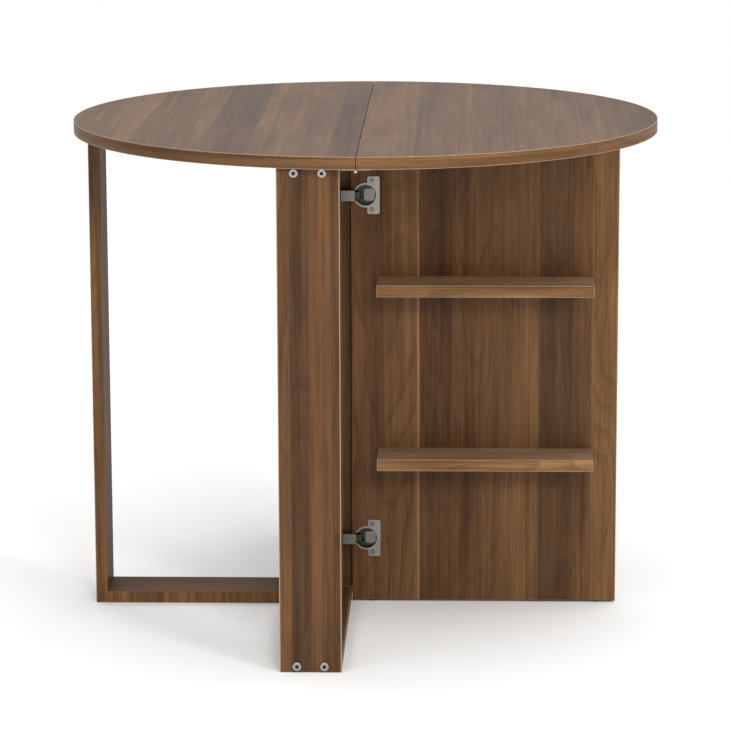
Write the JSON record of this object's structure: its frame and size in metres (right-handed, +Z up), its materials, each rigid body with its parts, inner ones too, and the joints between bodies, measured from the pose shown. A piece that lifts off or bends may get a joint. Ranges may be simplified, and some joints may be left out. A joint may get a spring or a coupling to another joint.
{
  "type": "gateleg table",
  "caption": "Round table with a fixed half and a drop leaf on a boarded leg frame; a shelved gate hinged to the frame swings out to hold the leaf up.",
  "frame": {"origin": "on the floor under the centre of the round top", "axes": "+Z up; +X towards the drop leaf and the open gate, square to the seam; +Y to the back along the seam, so the shelves face -Y"},
  "size_m": [0.8899, 0.89, 0.76],
  "materials": {
    "top_laminate": "satin walnut-look laminate, grain front to back",
    "board_laminate": "satin walnut-look laminate in plank widths, grain along the board",
    "edge_band": "satin walnut-look edge band, slightly lighter and redder",
    "beech_dowel": "plain beech",
    "bolt_steel": "bright zinc plate",
    "screw_steel": "zinc plate",
    "hinge_nickel": "nickel-plated pressed steel, satin",
    "hinge_screw_steel": "nickel plate",
    "glide_plastic": "matte dark brown"
  },
  "bodies": {
    "frame": {"fixed_top": "top_laminate", "fixed_top_edge_band": "edge_band", "front_post": "board_laminate", "front_post_edge_bands": "edge_band", "rear_post": "board_laminate", "rear_post_edge_bands": "edge_band", "bottom_stretcher": "board_laminate", "top_stretcher": "board_laminate", "stretcher_edge_bands": "edge_band", "centre_board": "board_laminate", "left_outer_post": "board_laminate", "left_inner_post": "board_laminate", "left_bottom_rail": "board_laminate", "left_top_rail": "board_laminate", "left_frame_edge_bands": "edge_band", "frame_bolts": "bolt_steel", "frame_barrel_nuts": "bolt_steel", "frame_dowels": "beech_dowel", "left_frame_screws": "screw_steel", "inner_post_screws": "screw_steel", "centre_board_screws": "screw_steel", "top_fixing_screws": "screw_steel", "upper_hinge_plate": "hinge_nickel", "lower_hinge_plate": "hinge_nickel", "hinge_plate_screws": "hinge_screw_steel", "upper_hinge_arm": "hinge_nickel", "lower_hinge_arm": "hinge_nickel", "hinge_arm_screws": "hinge_screw_steel", "hinge_arm_pins": "hinge_nickel", "front_leaf_hinge_fixed_flap": "hinge_nickel", "middle_leaf_hinge_fixed_flap": "hinge_nickel", "rear_leaf_hinge_fixed_flap": "hinge_nickel", "leaf_hinge_pins": "hinge_nickel", "leaf_hinge_fixed_screws": "hinge_screw_steel"},
    "gate": {"gate_panel": "board_laminate", "gate_edge_bands": "edge_band", "upper_shelf": "board_laminate", "lower_shelf": "board_laminate", "upper_shelf_edge_band": "edge_band", "lower_shelf_edge_band": "edge_band", "shelf_screws": "screw_steel", "shelf_dowels": "beech_dowel", "gate_glides": "glide_plastic", "upper_hinge_cup": "hinge_nickel", "lower_hinge_cup": "hinge_nickel", "hinge_cup_pins": "hinge_nickel", "hinge_dampers": "hinge_nickel", "hinge_cup_screws": "hinge_screw_steel"},
    "hinge_links": {"upper_hinge_link": "hinge_nickel", "lower_hinge_link": "hinge_nickel"},
    "leaf": {"drop_leaf": "top_laminate", "drop_leaf_edge_band": "edge_band", "front_leaf_hinge_moving_flap": "hinge_nickel", "middle_leaf_hinge_moving_flap": "hinge_nickel", "rear_leaf_hinge_moving_flap": "hinge_nickel", "leaf_hinge_moving_screws": "hinge_screw_steel"}
  },
  "joints": [
    {"name": "gate_swing", "type": "hinge", "parent": "frame", "child": "gate", "pos_m": [-0.0105, -0.0185, 0.372], "axis": [0, 0, -1], "range_deg": [0, 90]},
    {"name": "hinge_link_swing", "type": "hinge", "parent": "frame", "child": "hinge_links", "pos_m": [-0.0195, -0.032, 0.372], "axis": [0, 0, 1], "range_deg": [0, 31.19]},
    {"name": "leaf_lift", "type": "hinge", "parent": "frame", "child": "leaf", "pos_m": [0, 0, 0.73915], "axis": [0, -1, 0], "range_deg": [0, 2.5]}
  ],
  "couplings": [
    {"joint": "hinge_link_swing", "follows": "gate_swing", "ratio": 0.34598}
  ]
}
